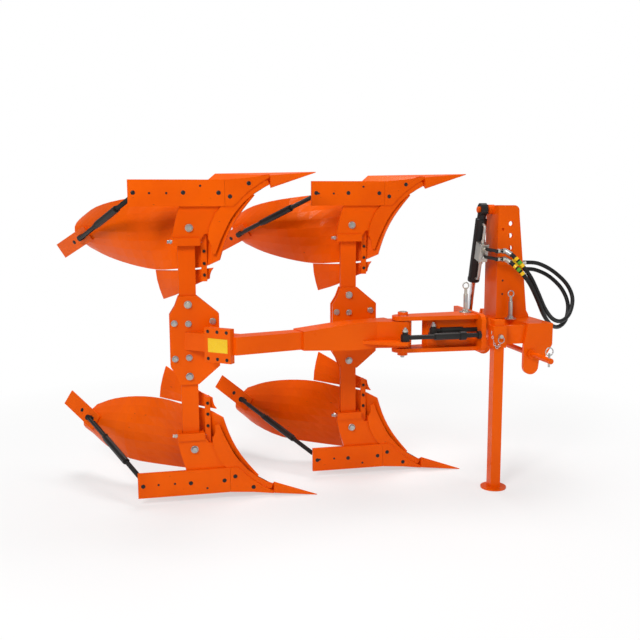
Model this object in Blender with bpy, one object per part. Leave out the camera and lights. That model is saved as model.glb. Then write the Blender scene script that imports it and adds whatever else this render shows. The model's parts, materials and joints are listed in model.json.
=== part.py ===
"""Two-furrow reversible mounted mouldboard plough, parked on its lower shares and its stand.

Metres, +Z up, +X forward to the tractor, +Y to the side the furrow slice is turned to.
Every size below is written in the machine's own frame: X = 0 and Y = 0 at the heel of the rear
landside, Z = 0 on the ground. The root empty then shifts the whole plough so that the origin lies
under the middle of its box. All parts hang from that empty.
"""
import math

import bmesh
import bpy
from mathutils import Matrix, Vector

for stale in list(bpy.data.objects):
    bpy.data.objects.remove(stale, do_unlink=True)

# ---------------------------------------------------------------- driving dimensions
GAP = 0.0003                    # clearance between faces that touch
RUN = 0.006                     # running clearance of parts that turn past each other
AXIS_Z = 0.613                  # height of the turnover shaft; upper bottoms mirror about it
AXIS_Y = 0.145                  # side offset of the turnover shaft
FURROW_X = 0.649                # rear bottom to front bottom, along the furrow
FURROW_Y = 0.167                # rear bottom to front bottom, across the furrow
BEAM_ANGLE = math.atan2(FURROW_Y, FURROW_X)

# plough bottoms, measured from the heel of each landside
LANDSIDE_LENGTH = 0.342
LANDSIDE_THICKNESS = 0.012
LANDSIDE_BOTTOM = 0.028
LANDSIDE_TOP = 0.123
FRONT_HEEL_CUT = 0.046          # the front landside is this much shorter at its heel
SHIN_NOSE = 0.508               # front end of the shin piece
JOINT_GAP = 0.0008              # visible joint between landside and shin piece
FROG_THICKNESS = 0.014
LEG_X = 0.201                   # centre of the leg
LEG_WIDTH = 0.062
LEG_THICKNESS = 0.025
LEG_FOOT = 0.150                # height of the leg's lower end
BOARD_THICKNESS = 0.007
TIP = Vector((0.672, -0.025, 0.0))

FROG_Y = LANDSIDE_THICKNESS + GAP
LEG_Y = FROG_Y + FROG_THICKNESS + GAP
LEG_BACK_Y = LEG_Y + LEG_THICKNESS

# cheek plates and beam
CHEEK_THICKNESS = 0.010
STUB_WIDTH = 0.062
STUB_HEIGHT = 0.065
STUB_ANGLE = math.radians(-40.0)
BEAM_WIDTH = 0.070
BEAM_HEIGHT = 0.065
BEAM_FACE = Vector((0.373, -0.142, AXIS_Z))     # a point on the face of the beam tube
FLANGE_WIDTH = 0.112
FLANGE_HEIGHT = 0.124
FLANGE_THICKNESS = 0.012

# swivel fork, turnover shaft and headstock
PIN_X = 1.018                   # swivel pin of the beam in the fork
PIN_Y = 0.0
PIN_RADIUS = 0.0125
FORK_PLATE = 0.016
FORK_GAP = 0.108                # free height between the fork plates
FORK_NEAR_Y = -0.045
FORK_FAR_Y = 0.066
END_PLATE_X = 1.306
END_PLATE_THICKNESS = 0.018
SHAFT_RADIUS = 0.030
CRANK_RADIUS = 0.125
CRANK_X = 1.372
NECK_RADIUS = 0.022             # shaft where the cylinder's rod swings over it
CYLINDER_X = 1.398
EYE_Z = 1.085
HUB_RADIUS = 0.052
HUB_X = 1.415
MAST_X = 1.441
MAST_WIDTH = 0.120
MAST_TOP_Z = 1.102
MAST_PLATE = 0.012
BAR_X = 1.500                   # rear face of the headstock crossbar
BAR_DEPTH = 0.100
BAR_BOTTOM = 0.566
BAR_TOP = 0.646
BRACKET_NEAR_Y = -0.090
BRACKET_PLATE = 0.014
LINK_X = 1.514                  # axis of the lower link shaft
LINK_Z = 0.528
LINK_RADIUS = 0.011
LINK_END = 0.395                # half length of the lower link shaft
STAND_X = 1.368
STAND_Y = -0.094
STAND_SIZE = 0.040
SLEEVE_SIZE = 0.052
FOOT_RADIUS = 0.050
FOOT_THICKNESS = 0.006

MIRROR_Z = 2.0 * AXIS_Z

# ---------------------------------------------------------------- materials
PALETTE = {
    # name: (red, green, blue), roughness, metallic
    "orange_paint": ((0.90, 0.20, 0.01), 0.35, 0.0),
    "black_steel": ((0.02, 0.02, 0.022), 0.45, 0.3),
    "chrome": ((0.75, 0.75, 0.76), 0.12, 1.0),
    "zinc": ((0.55, 0.55, 0.52), 0.40, 0.9),
    "rubber": ((0.015, 0.015, 0.015), 0.60, 0.0),
}


def material(name):
    """Principled material of one of the finishes in PALETTE."""
    if name in bpy.data.materials:
        return bpy.data.materials[name]
    colour, roughness, metallic = PALETTE[name]
    made = bpy.data.materials.new(name)
    made.use_nodes = True
    shader = made.node_tree.nodes["Principled BSDF"]
    shader.inputs["Base Color"].default_value = (*colour, 1.0)
    shader.inputs["Roughness"].default_value = roughness
    shader.inputs["Metallic"].default_value = metallic
    return made


root = bpy.data.objects.new("plough", None)
bpy.context.collection.objects.link(root)


def joint_empty(name, location, parent=root):
    """Empty on a joint's axis; the moving pieces are its children."""
    empty = bpy.data.objects.new(name, None)
    bpy.context.collection.objects.link(empty)
    empty.parent = parent
    origin = Vector(location)
    empty.location = origin - (Vector(parent["at"]) if parent is not root else Vector())
    empty["at"] = origin
    return empty


# ---------------------------------------------------------------- mesh helpers
def finish(bm):
    """Faces outward, no doubled corners; returns a mesh."""
    bmesh.ops.remove_doubles(bm, verts=bm.verts, dist=1e-6)
    bmesh.ops.recalc_face_normals(bm, faces=bm.faces)
    mesh = bpy.data.meshes.new("shape")
    bm.to_mesh(mesh)
    bm.free()
    return mesh


def prism(outline, low, high, plane="xz"):
    """Outline extruded from low to high along the axis that the plane leaves out."""
    bm = bmesh.new()
    rings = []
    for level in (low, high):
        ring = []
        for a, b in outline:
            place = {"xz": (a, level, b), "xy": (a, b, level), "yz": (level, a, b)}[plane]
            ring.append(bm.verts.new(place))
        rings.append(ring)
    count = len(outline)
    for i in range(count):
        j = (i + 1) % count
        bm.faces.new((rings[0][i], rings[0][j], rings[1][j], rings[1][i]))
    bm.faces.new(rings[0])
    bm.faces.new(rings[1])
    return finish(bm)


def box(x0, x1, y0, y1, z0, z1):
    return prism(((x0, z0), (x1, z0), (x1, z1), (x0, z1)), y0, y1)


def turned(start, end, profile, sides=16):
    """Round bar from start to end; profile is a list of (distance along, radius)."""
    start, end = Vector(start), Vector(end)
    along = (end - start).normalized()
    turn = along.to_track_quat("Z", "Y").to_matrix()
    bm = bmesh.new()
    rings = []
    for distance, radius in profile:
        ring = []
        for i in range(sides):
            angle = 2.0 * math.pi * (i + 0.5) / sides
            spoke = Vector((math.cos(angle) * radius, math.sin(angle) * radius, distance))
            ring.append(bm.verts.new(start + turn @ spoke))
        rings.append(ring)
    for lower, upper in zip(rings, rings[1:]):
        for i in range(sides):
            j = (i + 1) % sides
            bm.faces.new((lower[i], lower[j], upper[j], upper[i]))
    bm.faces.new(rings[0])
    bm.faces.new(rings[-1])
    return finish(bm)


def rod(start, end, radius, sides=16):
    length = (Vector(end) - Vector(start)).length
    return turned(start, end, ((0.0, radius), (length, radius)), sides)


def arc(cx, cy, radius, start, stop, count):
    """Points of an arc, angles in degrees, both ends included."""
    points = []
    for i in range(count + 1):
        angle = math.radians(start + (stop - start) * i / count)
        points.append((cx + radius * math.cos(angle), cy + radius * math.sin(angle)))
    return points


def hull(points):
    bm = bmesh.new()
    for point in points:
        bm.verts.new(point)
    made = bmesh.ops.convex_hull(bm, input=bm.verts)
    loose = [v for v in made["geom_interior"] if isinstance(v, bmesh.types.BMVert)]
    bmesh.ops.delete(bm, geom=loose, context="VERTS")
    return finish(bm)


def moved(mesh, matrix):
    mesh.transform(matrix)
    return mesh


def beam_section(start, end, width, z0, z1):
    """Upright box along a line in plan."""
    start, end = Vector(start).xy, Vector(end).xy
    side = (end - start).normalized().orthogonal() * (width / 2.0)
    outline = (start - side, end - side, end + side, start + side)
    return prism([tuple(p) for p in outline], z0, z1, "xy")


def spline(points, t):
    """Smooth curve through the points, t from 0 to 1 (Catmull-Rom, run on past its ends)."""
    spans = len(points) - 1
    position = t * spans
    index = min(max(int(math.floor(position)), 0), spans - 1)
    f = position - index
    p1, p2 = Vector(points[index]), Vector(points[index + 1])
    p0 = Vector(points[index - 1]) if index else p1 * 2.0 - p2
    p3 = Vector(points[index + 2]) if index + 2 <= spans else p2 * 2.0 - p1
    if f > 1.0:
        return p2 + (p2 - p1) * (f - 1.0)
    return 0.5 * (2.0 * p1 + (p2 - p0) * f + (2.0 * p0 - 5.0 * p1 + 4.0 * p2 - p3) * f ** 2
                  + (3.0 * p1 - p0 - 3.0 * p2 + p3) * f ** 3)


def combine(first, others, operation):
    """Boolean of meshes, worked out at once with the exact solver."""
    base = bpy.data.objects.new("base", first)
    bpy.context.collection.objects.link(base)
    tools = []
    for other in others:
        tool = bpy.data.objects.new("tool", other)
        bpy.context.collection.objects.link(tool)
        cut = base.modifiers.new(operation.lower(), "BOOLEAN")
        cut.operation = operation
        cut.solver = "EXACT"
        cut.object = tool
        tools.append(tool)
    bpy.context.view_layer.update()
    graph = bpy.context.evaluated_depsgraph_get()
    result = bpy.data.meshes.new_from_object(base.evaluated_get(graph))
    for used in (base, *tools):
        bpy.data.objects.remove(used, do_unlink=True)
    return result


def union(first, *others):
    return combine(first, others, "UNION") if others else first


def cut(first, *others):
    return combine(first, others, "DIFFERENCE") if others else first


def add(name, mesh, finish_name, parent=root, smooth=False, edge=0.0):
    """Named object holding the mesh, which is given in machine coordinates."""
    mesh.name = name
    mesh.materials.clear()
    mesh.materials.append(material(finish_name))
    made = bpy.data.objects.new(name, mesh)
    bpy.context.collection.objects.link(made)
    made.parent = parent
    if parent is not root:
        mesh.transform(Matrix.Translation(-Vector(parent["at"])))
    if smooth:
        mesh.shade_smooth()
        mesh.set_sharp_from_angle(angle=math.radians(35.0))
    if edge:
        bevel = made.modifiers.new("edges", "BEVEL")
        bevel.width = edge
        bevel.segments = 1
        bevel.limit_method = "ANGLE"
        bevel.angle_limit = math.radians(50.0)
    return made


# ---------------------------------------------------------------- joints
turnover = joint_empty("turnover_axis", (END_PLATE_X, AXIS_Y, AXIS_Z))
swivel = joint_empty("beam_swivel_axis", (PIN_X, PIN_Y, AXIS_Z), turnover)
cylinder_eye = joint_empty("cylinder_eye_axis", (CYLINDER_X, AXIS_Y, EYE_Z))

# ---------------------------------------------------------------- one plough bottom
# Mouldboard edges, from the shin to the wing, relative to the landside heel (x, y, z).
BOARD_LOW = (
    (0.452, 0.010, 0.084),      # at the shin, on the share
    (0.358, 0.096, 0.073),
    (0.264, 0.182, 0.066),      # wing end of the share
    (0.105, 0.235, 0.082),
    (-0.030, 0.290, 0.100),
    (-0.125, 0.405, 0.128),
    (-0.185, 0.492, 0.168),     # lower rear corner
)
BOARD_TOP = (
    (0.322, 0.014, 0.318),      # top of the shin
    (0.262, 0.050, 0.345),
    (0.185, 0.098, 0.353),
    (0.100, 0.195, 0.360),
    (0.005, 0.305, 0.345),
    (-0.085, 0.395, 0.318),
    (-0.158, 0.455, 0.282),     # upper rear corner
)
BOARD_HOLLOW = 0.052            # depth of the mouldboard's hollow
BOARD_COLUMNS = 18
BOARD_ROWS = 8


def board_point(u, v):
    """Face of the mouldboard: u from shin to wing, v from lower to upper edge."""
    low, high = spline(BOARD_LOW, u), spline(BOARD_TOP, u)
    depth = BOARD_HOLLOW * (0.35 + 0.65 * min(u, 1.0)) * math.sin(math.pi * min(max(v, 0.0), 1.0))
    lean = Vector((-0.80, -0.55, -0.10)).normalized()
    shin = 1.0 - min(u * 4.0, 1.0)
    back = Vector((-0.95, 0.05, -0.30)).normalized()
    return low.lerp(high, v) + (lean * (1.0 - shin) + back * shin) * depth


def board_normal(u, v):
    """Unit vector out of the back of the mouldboard."""
    step = 0.01
    along = board_point(u + step, v) - board_point(u - step, v)
    up = board_point(u, min(v + step, 1.0)) - board_point(u, max(v - step, 0.0))
    return up.cross(along).normalized()


def board_patch(u0, u1, v0, v1, columns, rows, near, far):
    """Closed plate that follows the mouldboard, between two distances behind its face."""
    bm = bmesh.new()
    layers = []
    for depth in (near, far):
        grid = []
        for i in range(columns + 1):
            u = u0 + (u1 - u0) * i / columns
            column = []
            for j in range(rows + 1):
                v = v0 + (v1 - v0) * j / rows
                column.append(bm.verts.new(board_point(u, v) + board_normal(u, v) * depth))
            grid.append(column)
        layers.append(grid)
    for grid in layers:
        for i in range(columns):
            for j in range(rows):
                bm.faces.new((grid[i][j], grid[i + 1][j], grid[i + 1][j + 1], grid[i][j + 1]))
    front, back = layers
    rim = [(i, 0) for i in range(columns)] + [(columns, j) for j in range(rows)]
    rim += [(i, rows) for i in range(columns, 0, -1)] + [(0, j) for j in range(rows, 0, -1)]
    for (i, j), (k, m) in zip(rim, rim[1:] + rim[:1]):
        bm.faces.new((front[i][j], front[k][m], back[k][m], back[i][j]))
    return finish(bm)


def landside(front):
    heel = FRONT_HEEL_CUT if front else 0.0
    return box(heel, LANDSIDE_LENGTH, 0.0, LANDSIDE_THICKNESS, LANDSIDE_BOTTOM, LANDSIDE_TOP)


def shin_piece():
    start = LANDSIDE_LENGTH + JOINT_GAP
    nose = SHIN_NOSE
    outline = [(start, LANDSIDE_BOTTOM), (0.430, 0.021), (nose, 0.010), (nose, 0.018)]
    outline += [(0.470, 0.040), (0.430, 0.068), (0.400, 0.095), (0.385, 0.112), (0.370, LANDSIDE_TOP)]
    outline += [(start, LANDSIDE_TOP)]
    return prism(outline, 0.0, LANDSIDE_THICKNESS)


def frog():
    """Plate that carries landside, share and mouldboard, with its clamp round the leg."""
    back = FROG_Y + FROG_THICKNESS
    outline = [(0.170, 0.045), (0.437, 0.030), (0.401, 0.070), (0.354, 0.108), (0.318, 0.150)]
    outline += [(0.294, 0.200), (0.286, 0.243), (0.279, 0.243), (0.279, 0.222), (0.266, 0.222)]
    outline += [(0.256, 0.240), (0.252, 0.262), (0.152, 0.262), (0.152, 0.225), (0.162, 0.180)]
    outline += [(0.178, 0.125)]
    plate = prism(outline, FROG_Y, back)
    clamp_top, clamp_low = 0.264, 0.236
    clamp_x0, clamp_x1 = 0.152, 0.250
    side = 0.016
    strap = box(clamp_x0 - 0.001, clamp_x1 + 0.001, FROG_Y - 0.008, FROG_Y + 0.004, clamp_low, clamp_top)
    rear = LEG_BACK_Y + GAP
    left = box(clamp_x0, clamp_x0 + side, back - 0.004, rear + 0.010, clamp_low, clamp_top)
    right = box(clamp_x1 - side, clamp_x1, back - 0.004, rear + 0.010, clamp_low, clamp_top)
    bridge = box(clamp_x0 + 0.002, clamp_x1 - 0.002, rear, rear + 0.009, clamp_low + 0.001, clamp_top - 0.001)
    return union(plate, strap, left, right, bridge)


def leg():
    half = LEG_WIDTH / 2.0
    return box(LEG_X - half, LEG_X + half, LEG_Y, LEG_BACK_Y, LEG_FOOT, AXIS_Z - 0.004)


SHARE_WING = Vector((0.325, 0.190, 0.0))
SHARE_EDGE = 0.003              # thickness of the cutting edge
SHARE_PLATE = 0.009


def share():
    """Flat wedge from the cutting edge up to the foot of the mouldboard."""
    lift = Vector((0.0, 0.0, SHARE_EDGE))
    shin_top = Vector((0.462, 0.000, 0.074))
    wing_top = Vector((0.270, 0.178, 0.058))
    drop = Vector((-0.004, -0.004, -SHARE_PLATE))
    points = [TIP, TIP + lift, SHARE_WING, SHARE_WING + lift]
    points += [shin_top, shin_top + drop, wing_top, wing_top + drop]
    points += [Vector((0.512, -0.004, 0.012)), Vector((0.512, -0.004, 0.056))]
    behind = FROG_Y + FROG_THICKNESS + GAP
    flank = box(0.20, SHIN_NOSE + GAP, -0.10, behind, -0.05, 0.12)
    return cut(hull(points), flank)


def mouldboard():
    return board_patch(0.0, 1.0, 0.0, 1.0, BOARD_COLUMNS, BOARD_ROWS, 0.0, BOARD_THICKNESS)


TAIL_SEAT = (0.93, 0.62)        # where the tail piece is bolted on: u, v of the mouldboard
TAIL_RUN = Vector((-0.112, 0.150, 0.073))       # from its inner to its outer end
TAIL_INNER, TAIL_OUTER = 0.040, 0.175           # reach to each side of the seat
TAIL_WIDTH = 0.064
TAIL_PLATE = 0.006
TAIL_CLEARANCE = 0.0006


def tail_frame():
    """Seat on the mouldboard's back, and the plate's own directions: along, across, out."""
    out = board_normal(*TAIL_SEAT)
    seat = board_point(*TAIL_SEAT) + out * (BOARD_THICKNESS + TAIL_CLEARANCE)
    along = (TAIL_RUN - out * TAIL_RUN.dot(out)).normalized()
    return seat, along, out.cross(along), out


def tail_piece():
    """Flat extension plate, bolted behind the mouldboard's wing."""
    seat, along, across, out = tail_frame()
    points = []
    for distance in (-TAIL_INNER, TAIL_OUTER):
        for half in (-TAIL_WIDTH / 2.0, TAIL_WIDTH / 2.0):
            for depth in (0.0, TAIL_PLATE):
                points.append(seat + along * distance + across * half + out * depth)
    return hull(points)


TRASH_LOW = ((0.300, 0.036, 0.347), (0.235, 0.072, 0.356), (0.170, 0.125, 0.361), (0.095, 0.205, 0.364))
TRASH_TOP = ((0.286, 0.048, 0.388), (0.235, 0.078, 0.412), (0.175, 0.150, 0.452), (0.122, 0.232, 0.480))
TRASH_PLATE = 0.005


def trashboard():
    """Deflector over the mouldboard, on an upright strap bolted to the frog."""
    bm = bmesh.new()
    columns, rows = 8, 3
    layers = []
    for depth in (0.0, TRASH_PLATE):
        grid = []
        for i in range(columns + 1):
            low = spline(TRASH_LOW, i / columns)
            high = spline(TRASH_TOP, i / columns)
            column = []
            for j in range(rows + 1):
                t = j / rows
                hollow = 0.018 * math.sin(math.pi * t / 2.0)
                point = low.lerp(high, t) + Vector((-0.75, -0.45, 0.0)) * (hollow * (1.0 - t))
                column.append(bm.verts.new(point + Vector((-0.75, -0.60, -0.1)) * depth))
            grid.append(column)
        layers.append(grid)
    for grid in layers:
        for i in range(columns):
            for j in range(rows):
                bm.faces.new((grid[i][j], grid[i + 1][j], grid[i + 1][j + 1], grid[i][j + 1]))
    rim = [(i, 0) for i in range(columns)] + [(columns, j) for j in range(rows)]
    rim += [(i, rows) for i in range(columns, 0, -1)] + [(0, j) for j in range(rows, 0, -1)]
    for (i, j), (k, m) in zip(rim, rim[1:] + rim[:1]):
        bm.faces.new((layers[0][i][j], layers[0][k][m], layers[1][k][m], layers[1][i][j]))
    plate = finish(bm)
    strap_y = FROG_Y + FROG_THICKNESS + GAP
    strap = box(0.254, 0.2748, strap_y, strap_y + 0.007, 0.190, 0.396)
    tab = box(0.256, 0.274, strap_y + 0.004, 0.066, 0.372, 0.394)
    return union(plate, strap, tab)


def stay_rod(front):
    """Threaded stay from the landside heel to the wing of the mouldboard."""
    heel = FRONT_HEEL_CUT if front else 0.0
    start = Vector((heel + 0.022, LANDSIDE_THICKNESS + 0.012, 0.082))
    plate, _, _, away = tail_frame()
    seat = plate + away * (TAIL_PLATE + GAP)
    end = seat + away * 0.014
    length = (end - start).length
    screw, hexagon = 0.0075, 0.0135
    profile = ((0.0, screw), (0.30 * length, screw), (0.30 * length + 0.001, hexagon),
               (0.66 * length, hexagon), (0.66 * length + 0.001, screw), (length, screw))
    stay = turned(start, end, profile, 8)
    foot = rod((start.x, LANDSIDE_THICKNESS + GAP, start.z), (start.x, start.y + 0.006, start.z), 0.012, 8)
    head = rod(seat, seat + away * 0.020, 0.012, 8)
    return union(stay, foot, head)


# piece: (builder, finish, edge bevel, smooth)
BOTTOM_PIECES = {
    "leg": (lambda front: leg(), "orange_paint", 0.0, False),
    "frog": (lambda front: frog(), "orange_paint", 0.0, False),
    "landside": (landside, "orange_paint", 0.0, False),
    "shin_piece": (lambda front: shin_piece(), "orange_paint", 0.0, False),
    "share": (lambda front: share(), "orange_paint", 0.0, False),
    "mouldboard": (lambda front: mouldboard(), "orange_paint", 0.0, True),
    "tail_piece": (lambda front: tail_piece(), "orange_paint", 0.0, True),
    "trashboard": (lambda front: trashboard(), "orange_paint", 0.0, True),
    "stay_rod": (stay_rod, "black_steel", 0.0, False),
}
FURROWS = {"rear": 0, "front": 1}
SIDES = {"lower": False, "upper": True}

for furrow, number in FURROWS.items():
    place = Matrix.Translation((FURROW_X * number, FURROW_Y * number, 0.0))
    for side, upper in SIDES.items():
        for piece, (builder, finish_name, edge, smooth) in BOTTOM_PIECES.items():
            mesh = moved(builder(number == 1), place)
            if upper:
                mesh.transform(Matrix.Diagonal((1.0, 1.0, -1.0, 1.0)))
                mesh.transform(Matrix.Translation((0.0, 0.0, MIRROR_Z)))
                mesh.flip_normals()
            add(f"{piece}_{furrow}_{side}", mesh, finish_name, swivel, smooth, edge)

# ---------------------------------------------------------------- cheek plates and beam
CHEEK_SIDE = (
    # x from the leg's centre, z from the shaft's height: upper half of the outline
    (0.113, 0.098), (0.034, 0.165), (-0.034, 0.165), (-0.048, 0.128), (-0.068, 0.096),
)
BOX_REAR_X, BOX_FULL_X, BOX_FRONT_X = 0.600, 0.800, 0.980      # tapered stiffener of the beam
BOX_PROUD = 0.011
BOX_HEIGHT = FORK_GAP - 2.0 * 0.003
beam_along = Vector((math.cos(BEAM_ANGLE), math.sin(BEAM_ANGLE), 0.0))
beam_side = Vector((-beam_along.y, beam_along.x, 0.0))
beam_line = BEAM_FACE + beam_side * (BEAM_WIDTH / 2.0)
stub_along = Vector((math.cos(STUB_ANGLE), math.sin(STUB_ANGLE), 0.0))
stub_side = Vector((-stub_along.y, stub_along.x, 0.0))


def beam_at(x, offset=0.0):
    """Point of the beam's centre line at x, moved sideways by offset."""
    return beam_line + beam_along * ((x - beam_line.x) / beam_along.x) + beam_side * offset


def cheek_outline(leg_centre):
    upper = [(leg_centre + x, AXIS_Z + z) for x, z in CHEEK_SIDE]
    lower = [(leg_centre + x, AXIS_Z - z) for x, z in reversed(CHEEK_SIDE)]
    return upper + lower


def cheek(number):
    """Two plates clamping the legs, their spacers, and the stub tube to the beam."""
    leg_centre = LEG_X + FURROW_X * number
    shift = FURROW_Y * number
    front_y = LEG_Y - GAP + shift
    back_y = LEG_BACK_Y + GAP + shift
    outline = cheek_outline(leg_centre)
    near = prism(outline, front_y - CHEEK_THICKNESS, front_y)
    far = prism(outline, back_y, back_y + CHEEK_THICKNESS)
    half = LEG_WIDTH / 2.0 + GAP
    spacers = []
    for x0, x1 in ((leg_centre - 0.062, leg_centre - half), (leg_centre + half, leg_centre + 0.070)):
        spacers.append(box(x0, x1, front_y - 0.003, back_y + 0.003, AXIS_Z - 0.070, AXIS_Z + 0.070))
    begin = Vector((leg_centre + 0.026, front_y - 0.004, AXIS_Z))
    face_offset = BEAM_WIDTH / 2.0 + GAP + (BOX_PROUD if number else 0.0)
    reach = (beam_side.dot(begin - beam_line) - face_offset) / -beam_side.dot(stub_along)
    z0, z1 = AXIS_Z - STUB_HEIGHT / 2.0, AXIS_Z + STUB_HEIGHT / 2.0
    stub = beam_section(begin - stub_along * 0.06, begin + stub_along * (reach + 0.05), STUB_WIDTH, z0, z1)
    behind = box(leg_centre - 0.20, leg_centre + 0.25, front_y - 0.002, front_y + 0.15, z0 - 0.01, z1 + 0.01)
    face = beam_line + beam_side * face_offset
    past = beam_section(face - beam_along * 0.4 - beam_side * 0.1, face + beam_along * 1.2 - beam_side * 0.1,
                        0.2, z0 - 0.01, z1 + 0.01)
    stub = cut(stub, behind, past)
    return union(near, far, *spacers, stub)


for furrow, number in FURROWS.items():
    add(f"cheek_plates_{furrow}", cheek(number), "orange_paint", swivel)

flange_near = Vector((0.337, -0.151, AXIS_Z))
flange_along = Vector((-stub_along.x, -stub_along.y, 0.0))
flange_normal = Vector((-stub_side.x, -stub_side.y, 0.0))
half_flange = FLANGE_HEIGHT / 2.0


def flange_plate(near, far):
    """Upright plate parallel to the stub tubes, between two depths behind the flange's face."""
    middle = -(near + far) / 2.0
    start = flange_near + flange_normal * middle
    end = start + flange_along * FLANGE_WIDTH
    return beam_section(start, end, far - near, AXIS_Z - half_flange, AXIS_Z + half_flange)




def beam():
    """Main tube with its mitred rear flange, tapered stiffener, head and turnbuckle lug."""
    z0, z1 = AXIS_Z - BEAM_HEIGHT / 2.0, AXIS_Z + BEAM_HEIGHT / 2.0
    tube = beam_section(beam_at(0.25), beam_at(BOX_FRONT_X), BEAM_WIDTH, z0, z1)
    face = flange_near - flange_normal * (FLANGE_THICKNESS + GAP + 0.006)
    mitre = beam_section(face + flange_along * 0.3 + flange_normal * 0.2,
                         face - flange_along * 0.3 + flange_normal * 0.2, 0.4, z0 - 0.01, z1 + 0.01)
    tube = cut(tube, mitre)
    plate = flange_plate(FLANGE_THICKNESS + GAP, 2.0 * FLANGE_THICKNESS + GAP)
    half = BOX_HEIGHT / 2.0
    small = BEAM_HEIGHT / 2.0 + 0.003
    wide = BEAM_WIDTH / 2.0 + BOX_PROUD
    corners = []
    for x, height in ((BOX_REAR_X, small), (BOX_FULL_X, half), (BOX_FRONT_X, half)):
        for offset in (-wide, wide):
            for z in (AXIS_Z - height, AXIS_Z + height):
                corners.append(beam_at(x, offset) + Vector((0.0, 0.0, z - AXIS_Z)))
    stiffener = hull(corners)
    head_radius = 0.034
    head = [tuple(beam_at(0.90, -wide).xy), tuple(beam_at(0.90, wide).xy), (PIN_X - 0.012, PIN_Y + 0.062)]
    head += [(PIN_X + 0.020, PIN_Y + 0.040)] + arc(PIN_X, PIN_Y, head_radius, 40.0, -80.0, 6)
    head = prism(sorted_round(head), AXIS_Z - half + 0.0004, AXIS_Z + half - 0.0004, "xy")
    shelf = prism(SHELF_OUTLINE, AXIS_Z - 0.030, AXIS_Z - 0.018, "xy")
    bore = rod((PIN_X, PIN_Y, AXIS_Z - 0.1), (PIN_X, PIN_Y, AXIS_Z + 0.1), PIN_RADIUS + GAP, 16)
    return cut(union(tube, plate, stiffener, head, shelf), bore)


def sorted_round(points):
    """Corners of a convex outline in order round their middle."""
    cx = sum(p[0] for p in points) / len(points)
    cy = sum(p[1] for p in points) / len(points)
    return sorted(points, key=lambda p: math.atan2(p[1] - cy, p[0] - cx))


LUG_X, LUG_Y = 1.003, -0.078    # turnbuckle eye on the beam
SHELF_OUTLINE = [(0.850, -0.030), (0.905, -0.060), (0.975, -0.100), (1.006, -0.105), (1.022, -0.085),
                 (1.018, -0.050), (0.990, -0.020), (0.930, 0.020)]
add("main_beam", beam(), "orange_paint", swivel)
add("rear_flange", flange_plate(0.0, FLANGE_THICKNESS), "orange_paint", swivel)

# ---------------------------------------------------------------- swivel fork and turnover shaft
fork_half = FORK_GAP / 2.0
fork_outer = fork_half + FORK_PLATE
END_TOP = fork_outer + 0.004


def fork():
    """Two plates round the beam's head, web, end plate and swivel pin."""
    near, far = FORK_NEAR_Y, FORK_FAR_Y
    nose = arc(PIN_X, PIN_Y, 0.042, 250.0, 110.0, 8)
    outline = [(END_PLATE_X + 0.004, near - 0.004)] + nose + [(END_PLATE_X + 0.004, far)]
    upper = prism(outline, AXIS_Z + fork_half, AXIS_Z + fork_outer, "xy")
    lower = prism(outline, AXIS_Z - fork_outer, AXIS_Z - fork_half, "xy")
    web = prism([(1.100, 0.012), (1.116, -0.004), (1.150, -0.018), (END_PLATE_X + 0.004, -0.022),
                 (END_PLATE_X + 0.004, -0.010), (1.152, -0.006), (1.124, 0.008), (1.110, 0.024)],
                AXIS_Z - fork_half - 0.003, AXIS_Z + fork_half + 0.003, "xy")
    end_near, end_far = AXIS_Y - 0.235, AXIS_Y + 0.062
    corner = 0.030
    low, high = AXIS_Z - END_TOP, AXIS_Z + END_TOP
    end = [(end_far, low), (end_far, high)]
    end += arc(end_near + corner, high - corner, corner, 90.0, 180.0, 4)
    end += arc(end_near + corner, low + corner, corner, 180.0, 270.0, 4)
    plate = prism(end, END_PLATE_X, END_PLATE_X + END_PLATE_THICKNESS, "yz")
    pin = turned((PIN_X, PIN_Y, AXIS_Z - fork_outer - 0.014), (PIN_X, PIN_Y, AXIS_Z + fork_outer + 0.014),
                 ((0.0, 0.020), (0.012, 0.020), (0.016, PIN_RADIUS),
                  (2.0 * fork_outer + 0.012, PIN_RADIUS), (2.0 * fork_outer + 0.016, 0.020),
                  (2.0 * fork_outer + 0.028, 0.020)), 16)
    return union(upper, lower, web, plate, pin)


def shaft():
    """Turnover shaft with its crank for the cylinder."""
    start = (END_PLATE_X + END_PLATE_THICKNESS + GAP, AXIS_Y, AXIS_Z)
    neck_end = HUB_X - 0.001
    core = turned(start, (HUB_X + 0.060, AXIS_Y, AXIS_Z),
                  ((0.0, NECK_RADIUS), (neck_end - start[0], NECK_RADIUS), (neck_end - start[0] + 0.0005, SHAFT_RADIUS),
                   (HUB_X + 0.060 - start[0], SHAFT_RADIUS)), 24)
    boss = rod(start, (CRANK_X, AXIS_Y, AXIS_Z), 0.046, 24)
    outline = arc(AXIS_Y + CRANK_RADIUS, AXIS_Z, 0.026, -80.0, 80.0, 6)
    outline += arc(AXIS_Y, AXIS_Z, 0.046, 100.0, 260.0, 8)
    arm = prism(outline, CRANK_X - 0.016, CRANK_X, "yz")
    return union(core, boss, arm)


add("swivel_fork", fork(), "orange_paint", turnover)
add("turnover_shaft", shaft(), "black_steel", turnover, True)

SPINDLE_Z = AXIS_Z - 0.004
SPINDLE_END_X = END_PLATE_X - GAP
SPINDLE_MID_X = 1.120


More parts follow.
